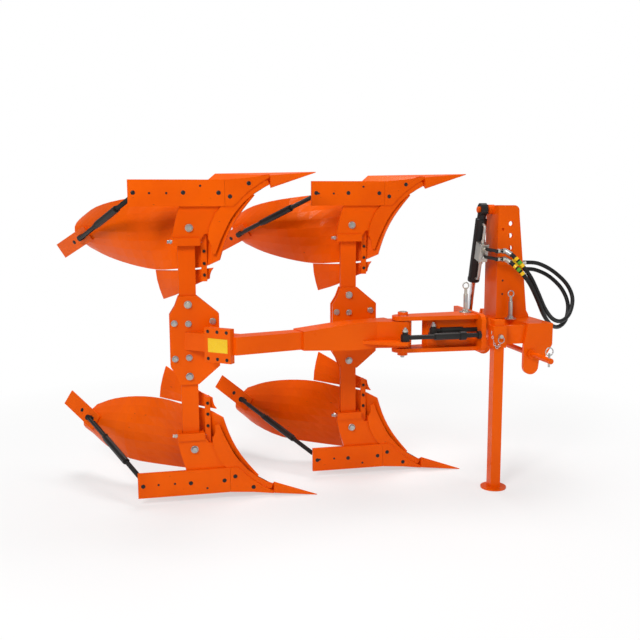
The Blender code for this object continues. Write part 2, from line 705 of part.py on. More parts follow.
def spindle_tube():
    """Turnbuckle sleeve with the screw that goes to the fork's end plate."""
    profile = ((0.0, 0.0135), (0.100, 0.0135), (0.101, 0.017), (0.125, 0.017), (0.126, 0.009),
               (SPINDLE_END_X - SPINDLE_MID_X - 0.012, 0.009), (SPINDLE_END_X - SPINDLE_MID_X - 0.011, 0.016),
               (SPINDLE_END_X - SPINDLE_MID_X, 0.016))
    tube = turned((SPINDLE_MID_X, LUG_Y, SPINDLE_Z), (SPINDLE_END_X, LUG_Y, SPINDLE_Z), profile, 12)
    bore = rod((SPINDLE_MID_X - 0.01, LUG_Y, SPINDLE_Z), (SPINDLE_MID_X + 0.080, LUG_Y, SPINDLE_Z), 0.0098, 12)
    return cut(tube, bore)


def spindle_eye():
    """Screwed eye on the beam's lug, its shank inside the sleeve."""
    z = SPINDLE_Z
    shank = rod((LUG_X, LUG_Y, z), (SPINDLE_MID_X + 0.055, LUG_Y, z), 0.009, 12)
    eye = turned((LUG_X, LUG_Y, AXIS_Z - 0.018 + GAP), (LUG_X, LUG_Y, z + 0.022),
                 ((0.0, 0.017), (z + 0.012 - (AXIS_Z - 0.018 + GAP), 0.017),
                  (z + 0.013 - (AXIS_Z - 0.018 + GAP), 0.011), (z + 0.022 - (AXIS_Z - 0.018 + GAP), 0.011)), 12)
    return union(shank, eye)


def inner_spindle():
    """Second turnbuckle, between the web of the fork and its end plate."""
    y, z = -0.040, AXIS_Z + 0.012
    start = 1.128
    length = END_PLATE_X - GAP - start
    profile = ((0.0, 0.009), (0.030, 0.009), (0.031, 0.013), (0.120, 0.013), (0.121, 0.009),
               (length, 0.009))
    bar = turned((start, y, z), (start + length, y, z), profile, 12)
    eye = turned((start, y, z - 0.011), (start, y, z + 0.018),
                 ((0.0, 0.015), (0.022, 0.015), (0.023, 0.010), (0.029, 0.010)), 12)
    lug = box(start - 0.013, start + 0.030, -0.052, -0.0205, z - 0.021, z - 0.008)
    return union(bar, eye, lug)


spindle_slide = joint_empty("spindle_slide_axis", (LUG_X, LUG_Y, SPINDLE_Z), turnover)
add("spindle_tube", spindle_tube(), "black_steel", turnover, True)
add("spindle_eye", spindle_eye(), "black_steel", spindle_slide, True)
add("inner_spindle", inner_spindle(), "black_steel", turnover, True)

# ---------------------------------------------------------------- turnover cylinder
HOSE_ROUTES = {
    # points of each hose, from the valve block round to its coupler (x, y, z)
    "upper": ((1.4375, 0.036, 0.922), (1.4445, 0.036, 0.922), (1.4515, 0.036, 0.922), (1.474, 0.016, 0.905),
              (1.505, -0.004, 0.868), (1.545, -0.004, 0.818), (1.585, 0.010, 0.755), (1.632, 0.036, 0.685),
              (1.690, 0.075, 0.636), (1.750, 0.112, 0.622), (1.805, 0.150, 0.648), (1.838, 0.190, 0.705),
              (1.820, 0.212, 0.765), (1.765, 0.232, 0.820), (1.700, 0.238, 0.853), (1.640, 0.229, 0.860),
              (1.610, 0.2235, 0.857), (1.5849, 0.2235, 0.856)),
    "lower": ((1.4375, 0.036, 0.890), (1.4445, 0.036, 0.890), (1.4515, 0.036, 0.890), (1.470, 0.012, 0.874),
              (1.497, -0.014, 0.842), (1.536, -0.016, 0.794), (1.576, -0.004, 0.730), (1.622, 0.026, 0.662),
              (1.680, 0.070, 0.612), (1.740, 0.115, 0.598), (1.795, 0.160, 0.622), (1.826, 0.206, 0.680),
              (1.812, 0.238, 0.742), (1.762, 0.258, 0.795), (1.700, 0.262, 0.824), (1.645, 0.256, 0.830),
              (1.612, 0.2495, 0.827), (1.5849, 0.2495, 0.826)),
}


crank_pin = Vector((CYLINDER_X, AXIS_Y + CRANK_RADIUS, AXIS_Z))
eye = Vector((CYLINDER_X, AXIS_Y, EYE_Z))
cylinder_along = (crank_pin - eye).normalized()
cylinder_side = Vector((0.0, cylinder_along.z, -cylinder_along.y))
BARREL_START, BARREL_END = 0.036, 0.308
BARREL_RADIUS = 0.0235
ROD_RADIUS = 0.011
ROD_HIDDEN = 0.106              # rod inside the barrel when at rest
ROD_STROKE = 0.150
ROD_EYE_RADIUS = 0.0215


def cylinder_barrel():
    """Barrel with top eye, gland and the valve block on its side."""
    tube = turned(eye, crank_pin, ((0.014, 0.018), (BARREL_START, 0.018), (BARREL_START + 0.004, BARREL_RADIUS),
                                   (BARREL_END, BARREL_RADIUS)), 20)
    bore = rod(eye + cylinder_along * (BARREL_END - ROD_HIDDEN - ROD_STROKE - 0.004), crank_pin,
               ROD_RADIUS + 0.0006, 16)
    ring = rod(eye - Vector((0.013, 0.0, 0.0)), eye + Vector((0.013, 0.0, 0.0)), 0.026, 20)
    pin_hole = rod(eye - Vector((0.03, 0.0, 0.0)), eye + Vector((0.03, 0.0, 0.0)), 0.0128, 16)
    centre = eye + cylinder_along * 0.165 + cylinder_side * 0.046
    turn = Matrix((( 1.0, 0.0, 0.0), (0.0, cylinder_side.y, cylinder_along.y),
                   (0.0, cylinder_side.z, cylinder_along.z))).to_4x4()
    block = box(-0.018, 0.018, -0.026, 0.024, -0.036, 0.036)
    block = moved(block, Matrix.Translation(centre) @ turn)
    fittings = []
    for route in HOSE_ROUTES.values():
        outlet = Vector(route[0])
        inward = (outlet - Vector(route[1])).normalized()
        root_point = Vector((CYLINDER_X, centre.y, outlet.z + 0.006))
        fittings.append(rod(root_point, outlet + inward * 0.020, 0.007, 8))
        fittings.append(rod(outlet + inward * 0.026, outlet + inward * 0.0009, 0.0085, 8))
    return cut(union(tube, ring, block, *fittings), bore, pin_hole)


def cylinder_rod():
    length = (crank_pin - eye).length
    start = eye + cylinder_along * (BARREL_END - ROD_HIDDEN)
    bar = rod(start, eye + cylinder_along * (length - 0.012), ROD_RADIUS, 16)
    face = CRANK_X + GAP
    ring = rod((face, crank_pin.y, crank_pin.z), (CYLINDER_X + 0.013, crank_pin.y, crank_pin.z), ROD_EYE_RADIUS, 20)
    return union(bar, ring)


rod_slide = joint_empty("cylinder_rod_axis", tuple(crank_pin), cylinder_eye)
add("cylinder_barrel", cylinder_barrel(), "black_steel", cylinder_eye, True)
add("cylinder_rod", cylinder_rod(), "chrome", rod_slide, True)

# ---------------------------------------------------------------- headstock
half_mast = MAST_WIDTH / 2.0
near_face, far_face = AXIS_Y - half_mast, AXIS_Y + half_mast
HOLES = (
    # x, z, radius of the top link holes through both mast plates
    (1.496, 1.029, 0.010), (1.496, 0.981, 0.010), (1.497, 0.931, 0.010), (1.462, 1.006, 0.006),
)


def mast():
    """Two side plates and a rear plate, open to the front for the top link."""
    foot = BAR_TOP + GAP
    outline = [(MAST_X, foot), (1.585, foot), (1.583, foot + 0.012), (1.573, foot + 0.030)]
    outline += [(1.531, 1.070)] + arc(1.509, 1.080, 0.022, 0.0, 90.0, 4) + [(MAST_X, MAST_TOP_Z)]
    near = prism(outline, near_face, near_face + MAST_PLATE)
    far = prism(outline, far_face - MAST_PLATE, far_face)
    rear = box(MAST_X, MAST_X + MAST_PLATE, near_face + 0.004, far_face - 0.004, foot, MAST_TOP_Z)
    shell = union(near, far, rear)
    drills = [rod((x, near_face - 0.02, z), (x, far_face + 0.02, z), r, 16) for x, z, r in HOLES]
    boss = rod((CYLINDER_X - 0.022, AXIS_Y, EYE_Z), (MAST_X + 0.004, AXIS_Y, EYE_Z), 0.0122, 16)
    collar = rod((CYLINDER_X + 0.0215, AXIS_Y, EYE_Z), (MAST_X + 0.004, AXIS_Y, EYE_Z), 0.020, 16)
    return union(cut(shell, *drills), boss, collar)


def crossbar():
    """Box beam with the bearing housing of the turnover shaft."""
    y0, y1 = BRACKET_NEAR_Y + BRACKET_PLATE + GAP, 2.0 * AXIS_Y - BRACKET_NEAR_Y - BRACKET_PLATE - GAP
    bar = box(BAR_X, BAR_X + BAR_DEPTH, y0, y1, BAR_BOTTOM, BAR_TOP)
    hub = rod((HUB_X, AXIS_Y, AXIS_Z), (BAR_X + 0.020, AXIS_Y, AXIS_Z), HUB_RADIUS, 24)
    seat = box(MAST_X, BAR_X + 0.004, near_face, far_face, BAR_BOTTOM + 0.002, BAR_TOP - 0.002)
    bore = rod((HUB_X - 0.01, AXIS_Y, AXIS_Z), (HUB_X + 0.062, AXIS_Y, AXIS_Z), SHAFT_RADIUS + GAP, 24)
    top = box(HUB_X - 0.002, BAR_X + 0.04, AXIS_Y - 0.07, AXIS_Y + 0.07, BAR_TOP, BAR_TOP + 0.05)
    return cut(union(bar, hub, seat), bore, top)


def bracket(side):
    """Plate with a rounded lug, one at each end of the crossbar."""
    inner = BRACKET_NEAR_Y if side < 0 else 2.0 * AXIS_Y - BRACKET_NEAR_Y - BRACKET_PLATE
    lug = 0.026
    outline = [(BAR_X - 0.002, BAR_TOP + 0.002), (1.602, BAR_TOP), (1.602, 0.562), (1.573, 0.512), (1.548, 0.500)]
    outline += arc(LINK_X, 0.478, lug + 0.006, 0.0, -180.0, 10)
    outline += [(BAR_X - 0.018, 0.560)]
    plate = prism(outline, inner, inner + BRACKET_PLATE)
    hole = rod((LINK_X, inner - 0.02, LINK_Z), (LINK_X, inner + 0.04, LINK_Z), LINK_RADIUS + GAP, 16)
    return cut(plate, hole)


def link_shaft():
    y0, y1 = AXIS_Y - LINK_END, AXIS_Y + LINK_END
    bar = rod((LINK_X, y0, LINK_Z), (LINK_X, y1, LINK_Z), LINK_RADIUS, 16)
    shoulders = []
    for middle in (BRACKET_NEAR_Y - 0.008, 2.0 * AXIS_Y - BRACKET_NEAR_Y + 0.008):
        shoulders.append(rod((LINK_X, middle - 0.006, LINK_Z), (LINK_X, middle + 0.006, LINK_Z), 0.018, 16))
    return union(bar, *shoulders)


add("mast", mast(), "orange_paint")
add("crossbar", crossbar(), "orange_paint")
add("bracket_near", bracket(-1), "orange_paint")
add("bracket_far", bracket(1), "orange_paint")
add("lower_link_shaft", link_shaft(), "zinc")

# ---------------------------------------------------------------- parking stand
def stand_sleeve():
    """Square sleeve on an arm that reaches back from the crossbar."""
    half = SLEEVE_SIZE / 2.0
    z0, z1 = 0.562, 0.646
    outer = box(STAND_X - half, STAND_X + half, STAND_Y - half, STAND_Y + half, z0, z1)
    arm_near = BRACKET_NEAR_Y + BRACKET_PLATE + 2.0 * GAP
    arm = box(STAND_X + half - 0.004, BAR_X - GAP, arm_near, arm_near + 0.020, z0 + 0.006, z1 - 0.006)
    lap = box(STAND_X + half - 0.006, STAND_X + half + 0.008, STAND_Y - 0.010, arm_near + 0.010,
              z0 + 0.008, z1 - 0.008)
    hole = STAND_SIZE / 2.0 + 0.0005
    bore = box(STAND_X - hole, STAND_X + hole, STAND_Y - hole, STAND_Y + hole, z0 - 0.02, z1 + 0.02)
    return cut(union(outer, lap, arm), bore)


def stand():
    half = STAND_SIZE / 2.0
    tube = box(STAND_X - half, STAND_X + half, STAND_Y - half, STAND_Y + half, FOOT_THICKNESS - 0.001, 0.668)
    foot = rod((STAND_X, STAND_Y, 0.0), (STAND_X, STAND_Y, FOOT_THICKNESS), FOOT_RADIUS, 24)
    return union(tube, foot)


add("stand_sleeve", stand_sleeve(), "orange_paint")
add("parking_stand", stand(), "orange_paint")

# ---------------------------------------------------------------- hoses and their couplers
HOSE_DIAMETER = 0.017
COUPLER_X = 1.520
COUPLER_Z = (0.856, 0.826)
HOLDER_Y = far_face + GAP


def coupler_holder():
    plate = box(COUPLER_X - 0.025, COUPLER_X + 0.004, HOLDER_Y, HOLDER_Y + 0.060, 0.808, 0.874)
    return cut(plate, box(COUPLER_X - 0.030, COUPLER_X - 0.004, HOLDER_Y + 0.008, HOLDER_Y + 0.070, 0.800, 0.880))


def coupler(index):
    x0 = COUPLER_X + 0.004 + GAP
    y = HOLDER_Y + 0.018 + 0.026 * index
    z = COUPLER_Z[index]
    return turned((x0, y, z), (x0 + 0.060, y, z),
                  ((0.0, 0.0125), (0.026, 0.0125), (0.027, 0.0105), (0.046, 0.0105), (0.060, 0.0090)), 12)


add("coupler_holder", coupler_holder(), "black_steel")
for index, level in enumerate(("upper", "lower")):
    add(f"coupler_{level}", coupler(index), "zinc", root, True)

def hose(name, route, parent=root):
    """Tube along a smooth curve through the route, as a beaded poly spline with closed ends."""
    points = [Vector(p) for p in route]
    samples = 48
    curve = bpy.data.curves.new(name, "CURVE")
    curve.dimensions = "3D"
    line = curve.splines.new("POLY")
    line.points.add(samples)
    for i in range(samples + 1):
        line.points[i].co = (*spline(points, i / samples), 1.0)
    curve.bevel_depth = HOSE_DIAMETER / 2.0
    curve.bevel_resolution = 2
    curve.use_fill_caps = True
    curve.materials.append(material("rubber"))
    made = bpy.data.objects.new(name, curve)
    bpy.context.collection.objects.link(made)
    made.parent = parent
    return made


for level, route in HOSE_ROUTES.items():
    hose(f"hose_{level}", route)

# ---------------------------------------------------------------- origin under the middle
CORDS = ("hose_", "coupler_upper", "coupler_lower")
bpy.context.view_layer.update()
low, high = Vector((9.0, 9.0, 9.0)), Vector((-9.0, -9.0, -9.0))
for piece in bpy.data.objects:
    if piece.type != "MESH" or piece.name.startswith(CORDS):
        continue
    for vertex in piece.data.vertices:
        point = piece.matrix_world @ vertex.co
        low = Vector(min(a, b) for a, b in zip(low, point))
        high = Vector(max(a, b) for a, b in zip(high, point))
root.location = (-(low.x + high.x) / 2.0, -(low.y + high.y) / 2.0, -low.z)
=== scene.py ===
import json
import math
import random
import bpy
import bmesh
from mathutils import Matrix, Vector


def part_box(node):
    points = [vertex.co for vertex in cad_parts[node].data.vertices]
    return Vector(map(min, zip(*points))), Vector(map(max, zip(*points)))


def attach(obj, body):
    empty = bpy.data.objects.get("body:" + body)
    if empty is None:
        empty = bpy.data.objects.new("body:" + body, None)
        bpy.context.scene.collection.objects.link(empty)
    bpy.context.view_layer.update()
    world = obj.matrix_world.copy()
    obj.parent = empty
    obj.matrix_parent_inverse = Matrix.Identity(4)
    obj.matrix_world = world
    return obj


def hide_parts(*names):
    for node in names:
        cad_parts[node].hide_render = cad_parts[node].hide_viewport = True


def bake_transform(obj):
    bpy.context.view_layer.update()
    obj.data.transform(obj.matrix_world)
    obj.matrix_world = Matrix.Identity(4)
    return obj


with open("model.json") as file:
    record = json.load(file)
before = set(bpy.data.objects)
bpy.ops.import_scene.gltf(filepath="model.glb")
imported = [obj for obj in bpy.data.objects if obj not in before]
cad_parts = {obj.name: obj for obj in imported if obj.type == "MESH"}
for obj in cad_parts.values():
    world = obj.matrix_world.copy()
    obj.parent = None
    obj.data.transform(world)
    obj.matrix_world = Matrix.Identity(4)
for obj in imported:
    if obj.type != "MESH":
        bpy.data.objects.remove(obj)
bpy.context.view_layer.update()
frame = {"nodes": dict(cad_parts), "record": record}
nodes = frame["nodes"]

# The drawing's own origin is at the rear landside heel; the stand's centre fixes it in the frame.
STAND_CENTRE = (1.368, -0.094)
FURROW_STEP = Vector((0.649, 0.167, 0.0))       # rear bottom to front bottom
SHAFT_HEIGHT = 0.613
MIRROR_HEIGHT = 2.0 * SHAFT_HEIGHT              # upper bottoms mirror about the turnover shaft
stand_low, stand_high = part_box("parking_stand")
base = Vector(((stand_low.x + stand_high.x) / 2.0 - STAND_CENTRE[0],
               (stand_low.y + stand_high.y) / 2.0 - STAND_CENTRE[1], stand_low.z))


def at(x, y, z):
    """A point of the drawing, in the frame."""
    return base + Vector((x, y, z))


# ---------------------------------------------------------------- camera
CAMERA_PLACE = (0.0594, -2.9736, 1.1133)
CAMERA_YAW, CAMERA_PITCH, CAMERA_ROLL = 12.0, 8.18, -0.21       # degrees
CAMERA_LENS, CAMERA_SENSOR = 45.776, 36.0                       # millimetres
camera_data = bpy.data.cameras.new("camera")
camera_data.lens = CAMERA_LENS
camera_data.sensor_width = CAMERA_SENSOR
camera = bpy.data.objects.new("camera", camera_data)
bpy.context.scene.collection.objects.link(camera)
camera.matrix_world = (Matrix.Translation(at(*CAMERA_PLACE))
                       @ Matrix.Rotation(math.radians(-CAMERA_YAW), 4, "Z")
                       @ Matrix.Rotation(math.radians(90.0 - CAMERA_PITCH), 4, "X")
                       @ Matrix.Rotation(math.radians(CAMERA_ROLL), 4, "Z"))
bpy.context.scene.camera = camera
bpy.context.scene.view_settings.view_transform = "Standard"

# ---------------------------------------------------------------- hoses
HOSE_DIAMETER = 0.017
HOSE_SAMPLES = 144
HOSE_ROUTES = {
    # points of each hose, from the valve block round to its coupler
    "upper": ((1.4375, 0.036, 0.922), (1.4445, 0.036, 0.922), (1.4515, 0.036, 0.922), (1.474, 0.016, 0.905),
              (1.505, -0.004, 0.868), (1.545, -0.004, 0.818), (1.585, 0.010, 0.755), (1.632, 0.036, 0.685),
              (1.690, 0.075, 0.636), (1.750, 0.112, 0.622), (1.805, 0.150, 0.648), (1.838, 0.190, 0.705),
              (1.820, 0.212, 0.765), (1.765, 0.232, 0.820), (1.700, 0.238, 0.853), (1.640, 0.229, 0.860),
              (1.610, 0.2235, 0.857), (1.5849, 0.2235, 0.856)),
    "lower": ((1.4375, 0.036, 0.890), (1.4445, 0.036, 0.890), (1.4515, 0.036, 0.890), (1.470, 0.012, 0.874),
              (1.497, -0.014, 0.842), (1.536, -0.016, 0.794), (1.576, -0.004, 0.730), (1.622, 0.026, 0.662),
              (1.680, 0.070, 0.612), (1.740, 0.115, 0.598), (1.795, 0.160, 0.622), (1.826, 0.206, 0.680),
              (1.812, 0.238, 0.742), (1.762, 0.258, 0.795), (1.700, 0.262, 0.824), (1.645, 0.256, 0.830),
              (1.612, 0.2495, 0.827), (1.5849, 0.2495, 0.826)),
}


def spline(points, t):
    """Smooth curve through the points, t from 0 to 1."""
    spans = len(points) - 1
    position = t * spans
    index = min(max(int(math.floor(position)), 0), spans - 1)
    f = position - index
    p1, p2 = Vector(points[index]), Vector(points[index + 1])
    p0 = Vector(points[index - 1]) if index else p1 * 2.0 - p2
    p3 = Vector(points[index + 2]) if index + 2 <= spans else p2 * 2.0 - p1
    return 0.5 * (2.0 * p1 + (p2 - p0) * f + (2.0 * p0 - 5.0 * p1 + 4.0 * p2 - p3) * f ** 2
                  + (3.0 * p1 - p0 - 3.0 * p2 + p3) * f ** 3)


# ---------------------------------------------------------------- materials
def node_of(tree, kind, **values):
    made = tree.nodes.new(kind)
    for key, value in values.items():
        if key in made.inputs:
            made.inputs[key].default_value = value
        else:
            setattr(made, key, value)
    return made


def noise(tree, scale, detail=4.0, stretch=None):
    """Noise over the object's own space, stretched along an axis where asked."""
    coordinates = node_of(tree, "ShaderNodeTexCoord")
    made = node_of(tree, "ShaderNodeTexNoise", Scale=scale, Detail=detail)
    source = coordinates.outputs["Object"]
    if stretch:
        mapping = node_of(tree, "ShaderNodeMapping")
        mapping.inputs["Scale"].default_value = stretch
        tree.links.new(source, mapping.inputs["Vector"])
        source = mapping.outputs["Vector"]
    tree.links.new(source, made.inputs["Vector"])
    return made.outputs["Fac"]


def ramp(tree, source, low, high, dark, light):
    """Source mapped from low..high to dark..light."""
    made = node_of(tree, "ShaderNodeMapRange")
    for key, value in (("From Min", low), ("From Max", high), ("To Min", dark), ("To Max", light)):
        made.inputs[key].default_value = value
    tree.links.new(source, made.inputs["Value"])
    return made.outputs["Result"]


def mix(tree, factor, first, second):
    """Colour between first and second; each is a colour or a socket."""
    made = node_of(tree, "ShaderNodeMix", data_type="RGBA")
    if isinstance(factor, float):
        made.inputs[0].default_value = factor
    else:
        tree.links.new(factor, made.inputs[0])
    for index, value in ((6, first), (7, second)):
        if isinstance(value, tuple):
            made.inputs[index].default_value = (*value, 1.0)
        else:
            tree.links.new(value, made.inputs[index])
    return made.outputs[2]


def linear(code):
    """Linear colour of a written sRGB one."""
    parts = [int(code[i:i + 2], 16) / 255.0 for i in (1, 3, 5)]
    return tuple(p / 12.92 if p <= 0.04045 else ((p + 0.055) / 1.055) ** 2.4 for p in parts)


SPECULAR_LEVEL, COAT_ROUGHNESS, PAINT_COAT = 0.24, 0.12, 0.05
WHITE_GLOSS = (1.0, 1.0, 1.0, 1.0)
PAINT_GLOSS = (1.0, 0.66, 0.26, 1.0)    # warm, so that the orange keeps its depth in the light


def finish_of(name, main, second, rough, metallic=0.0, patches=5.0, grain=260.0, grain_depth=0.0002,
              wear=None, stretch=None, coat=0.0, gloss=WHITE_GLOSS):
    """Metal, paint or rubber: colour patches, worn spots, uneven roughness and a fine grain."""
    made = bpy.data.materials.new(name)
    made.use_nodes = True
    tree = made.node_tree
    shader = tree.nodes["Principled BSDF"]
    shader.inputs["Metallic"].default_value = metallic
    shader.inputs["Coat Weight"].default_value = coat
    shader.inputs["Specular IOR Level"].default_value = SPECULAR_LEVEL
    shader.inputs["Specular Tint"].default_value = gloss
    shader.inputs["Coat Roughness"].default_value = COAT_ROUGHNESS
    colour = mix(tree, ramp(tree, noise(tree, patches), 0.38, 0.64, 0.0, 1.0), main, second)
    if wear:
        worn_colour, amount = wear
        worn = ramp(tree, noise(tree, 42.0, 9.0, (1.0, 1.0, 2.6)), 0.72 - amount, 0.76 - amount, 0.0, 1.0)
        colour = mix(tree, worn, colour, worn_colour)
    tree.links.new(colour, shader.inputs["Base Color"])
    roughness = ramp(tree, noise(tree, 18.0, 6.0, stretch), 0.3, 0.7, rough - 0.07, rough + 0.09)
    tree.links.new(roughness, shader.inputs["Roughness"])
    bump = node_of(tree, "ShaderNodeBump", Strength=0.35, Distance=grain_depth)
    tree.links.new(noise(tree, grain, 3.0, stretch), bump.inputs["Height"])
    tree.links.new(bump.outputs["Normal"], shader.inputs["Normal"])
    return made


ORANGE, ORANGE_DEEP = linear("#ee5c00"), linear("#e45400")
STEEL_GREY = linear("#8c8680")
orange = finish_of("orange_paint", ORANGE, ORANGE_DEEP, 0.34, patches=3.2, grain=190.0, coat=PAINT_COAT,
                   gloss=PAINT_GLOSS)
orange_soil = finish_of("orange_paint_scuffed", ORANGE, ORANGE_DEEP, 0.36, patches=6.0,
                        wear=(linear("#b84a12"), 0.02), coat=PAINT_COAT, gloss=PAINT_GLOSS)
black = finish_of("black_paint", linear("#1d1c1c"), linear("#2a2826"), 0.38, grain=240.0,
                  wear=(linear("#5a5650"), 0.0))
chrome = finish_of("chrome", linear("#e2e4e6"), linear("#cfd2d6"), 0.14, metallic=1.0, grain=420.0,
                   grain_depth=0.00003)
zinc = finish_of("zinc_plate", linear("#c9c6ba"), linear("#aeb0b2"), 0.32, metallic=0.85, patches=28.0)
rubber = finish_of("hose_rubber", linear("#151515"), linear("#202021"), 0.48, patches=14.0, grain=520.0,
                   grain_depth=0.0004)
yellow = finish_of("yellow_film", linear("#f3c50d"), linear("#edbb06"), 0.30, patches=12.0, coat=0.4)
green = finish_of("green_band", linear("#5fa829"), linear("#549a22"), 0.42, patches=20.0)


def inner_face_grey(material, direction):
    """Bare steel on the faces that look along direction, as on the unpainted back of a share."""
    tree = material.node_tree
    shader = tree.nodes["Principled BSDF"]
    painted = shader.inputs["Base Color"].links[0].from_socket
    coordinates = node_of(tree, "ShaderNodeTexCoord")
    facing = node_of(tree, "ShaderNodeVectorMath", operation="DOT_PRODUCT")
    facing.inputs[1].default_value = direction
    tree.links.new(coordinates.outputs["Normal"], facing.inputs[0])
    mask = ramp(tree, facing.outputs["Value"], 0.72, 0.80, 0.0, 1.0)
    tree.links.new(mix(tree, mask, painted, STEEL_GREY), shader.inputs["Base Color"])


share_finish = {}
for side, up in (("lower", 1.0), ("upper", -1.0)):
    share_finish[side] = finish_of(f"share_{side}", ORANGE, ORANGE_DEEP, 0.36, patches=6.0,
                                   wear=(linear("#a8481a"), 0.03), coat=PAINT_COAT, gloss=PAINT_GLOSS)
    inner_face_grey(share_finish[side], (-0.45, 0.0, 0.89 * up))

SLOT_FINISH = {"orange_paint": orange, "black_steel": black, "chrome": chrome, "zinc": zinc, "rubber": rubber}
SOIL_PIECES = ("landside", "shin_piece", "mouldboard", "trashboard", "tail_piece")
slot_of_node = {entry["node"]: entry["material_slot"] for entry in frame["record"]["subparts"]}
for name, node in nodes.items():
    finish = SLOT_FINISH[slot_of_node[name]]
    if name.startswith(SOIL_PIECES):
        finish = orange_soil
    if name == "lower_link_shaft":
        finish = orange
    if name.startswith("share_"):
        finish = share_finish[name.rsplit("_", 1)[1]]
    for material_slot in node.material_slots:
        material_slot.material = finish


# ---------------------------------------------------------------- rolled edges on the CAD plates
EDGE_ROLL, EDGE_ANGLE = 0.0011, math.radians(40.0)
SMOOTH_PIECES = ("mouldboard", "trashboard")
smoothing = bpy.data.node_groups.new("smoothing", "GeometryNodeTree")
for way in ("INPUT", "OUTPUT"):
    smoothing.interface.new_socket("Geometry", in_out=way, socket_type="NodeSocketGeometry")
flat, smooth, shown = (smoothing.nodes.new(kind) for kind in
                       ("NodeGroupInput", "GeometryNodeSetShadeSmooth", "NodeGroupOutput"))
smoothing.links.new(flat.outputs["Geometry"], smooth.inputs["Geometry"])
smoothing.links.new(smooth.outputs["Geometry"], shown.inputs["Geometry"])
for name, node in nodes.items():
    if slot_of_node[name] == "rubber":
        continue
    if name.startswith(SMOOTH_PIECES):
        node.modifiers.new("smoothing", "NODES").node_group = smoothing
    rolled = node.modifiers.new("rolled_edges", "BEVEL")
    rolled.width = EDGE_ROLL
    rolled.segments = 2
    rolled.limit_method = "ANGLE"
    rolled.angle_limit = EDGE_ANGLE
    rolled.use_clamp_overlap = True
    rolled.harden_normals = False

# ---------------------------------------------------------------- shapes for fasteners and fittings
NEAR, FAR, UP = Vector((0.0, -1.0, 0.0)), Vector((0.0, 1.0, 0.0)), Vector((0.0, 0.0, 1.0))


class Shape:
    """Collects bodies of one material that move together, then becomes one piece.
"""

    def __init__(self, name, material, slot, body):
        self.name, self.material, self.slot, self.body = name, material, slot, body
        self.mesh = bmesh.new()

    def lathe(self, start, direction, profile, sides=24, turn=0.0):
        """Closed solid turned about a line; profile is (distance, radius), in metres."""
        direction = Vector(direction).normalized()
        side = direction.orthogonal().normalized()
        if abs(direction.z) < 0.9:
            side = (UP - direction * direction.z).normalized()
        across = direction.cross(side)
        rings = []
        for distance, radius in profile:
            centre = Vector(start) + direction * distance
            ring = []
            for k in range(sides):
                angle = 2.0 * math.pi * k / sides + turn
                radial = side * math.cos(angle) + across * math.sin(angle)
                ring.append(self.mesh.verts.new(centre + radial * radius))
            rings.append(ring)
        for first, second in zip(rings, rings[1:]):
            for k in range(sides):
                m = (k + 1) % sides
                self.mesh.faces.new((first[k], first[m], second[m], second[k]))
        self.mesh.faces.new(rings[0][::-1])
        self.mesh.faces.new(rings[-1])

    def sweep(self, points, radius, sides=12, closed=False):
        """Round wire along the points."""
        points = [Vector(p) for p in points]
        count = len(points)
        rings = []
        side = None
        for i, point in enumerate(points):
            before = points[(i - 1) % count] if closed or i else point
            after = points[(i + 1) % count] if closed or i < count - 1 else point
            along = (after - before).normalized()
            side = along.orthogonal() if side is None else side - along * side.dot(along)
            side.normalize()
            across = along.cross(side)
            rings.append([self.mesh.verts.new(point + (side * math.cos(a) + across * math.sin(a)) * radius)
                          for a in (2.0 * math.pi * k / sides for k in range(sides))])
        pairs = list(zip(rings, rings[1:])) + ([(rings[-1], rings[0])] if closed else [])
        for first, second in pairs:
            for k in range(sides):
                m = (k + 1) % sides
                self.mesh.faces.new((first[k], first[m], second[m], second[k]))
        if not closed:
            self.mesh.faces.new(rings[0][::-1])
            self.mesh.faces.new(rings[-1])

    def slab(self, centre, along, up, length, height, thickness):
        """Flat plate on a face, centre on its back."""
        along, up = Vector(along).normalized(), Vector(up).normalized()
        out = along.cross(up)
        corners = []
        for depth in (0.0, thickness):
            corners.append([self.mesh.verts.new(Vector(centre) + along * (a * length / 2.0)
                                                + up * (b * height / 2.0) + out * depth)
                            for a, b in ((-1, -1), (1, -1), (1, 1), (-1, 1))])
        low, high = corners
        self.mesh.faces.new(low[::-1])
        self.mesh.faces.new(high)
        for k in range(4):
            m = (k + 1) % 4
            self.mesh.faces.new((low[k], low[m], high[m], high[k]))

    def plate(self, outline, thickness):
        """Upright plate: points of its near face, thickness along +Y."""
        near = [self.mesh.verts.new(Vector(p)) for p in outline]
        far = [self.mesh.verts.new(Vector(p) + FAR * thickness) for p in outline]
        self.mesh.faces.new(near)
        self.mesh.faces.new(far[::-1])
        count = len(outline)
        for k in range(count):
            m = (k + 1) % count
            self.mesh.faces.new((near[k], far[k], far[m], near[m]))
        bmesh.ops.triangulate(self.mesh, faces=[f for f in self.mesh.faces if len(f.verts) > 4])

    def done(self, smooth_angle=35.0, edge=0.0):
        """The finished piece: edges rolled by edge, or shaded smooth up to smooth_angle."""
        bmesh.ops.recalc_face_normals(self.mesh, faces=self.mesh.faces)
        data = bpy.data.meshes.new(self.name)
        self.mesh.to_mesh(data)
        self.mesh.free()
        data.materials.append(self.material)
        piece = bpy.data.objects.new(self.name, data)
        bpy.context.scene.collection.objects.link(piece)
        if edge:
            rolled = piece.modifiers.new("rolled_edges", "BEVEL")
            rolled.width, rolled.segments, rolled.limit_method = edge, 2, "ANGLE"
        else:
            data.shade_smooth()
            data.set_sharp_from_angle(angle=math.radians(smooth_angle))
        if self.body:
            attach(piece, self.body)
        return piece


draw = random.Random(11)


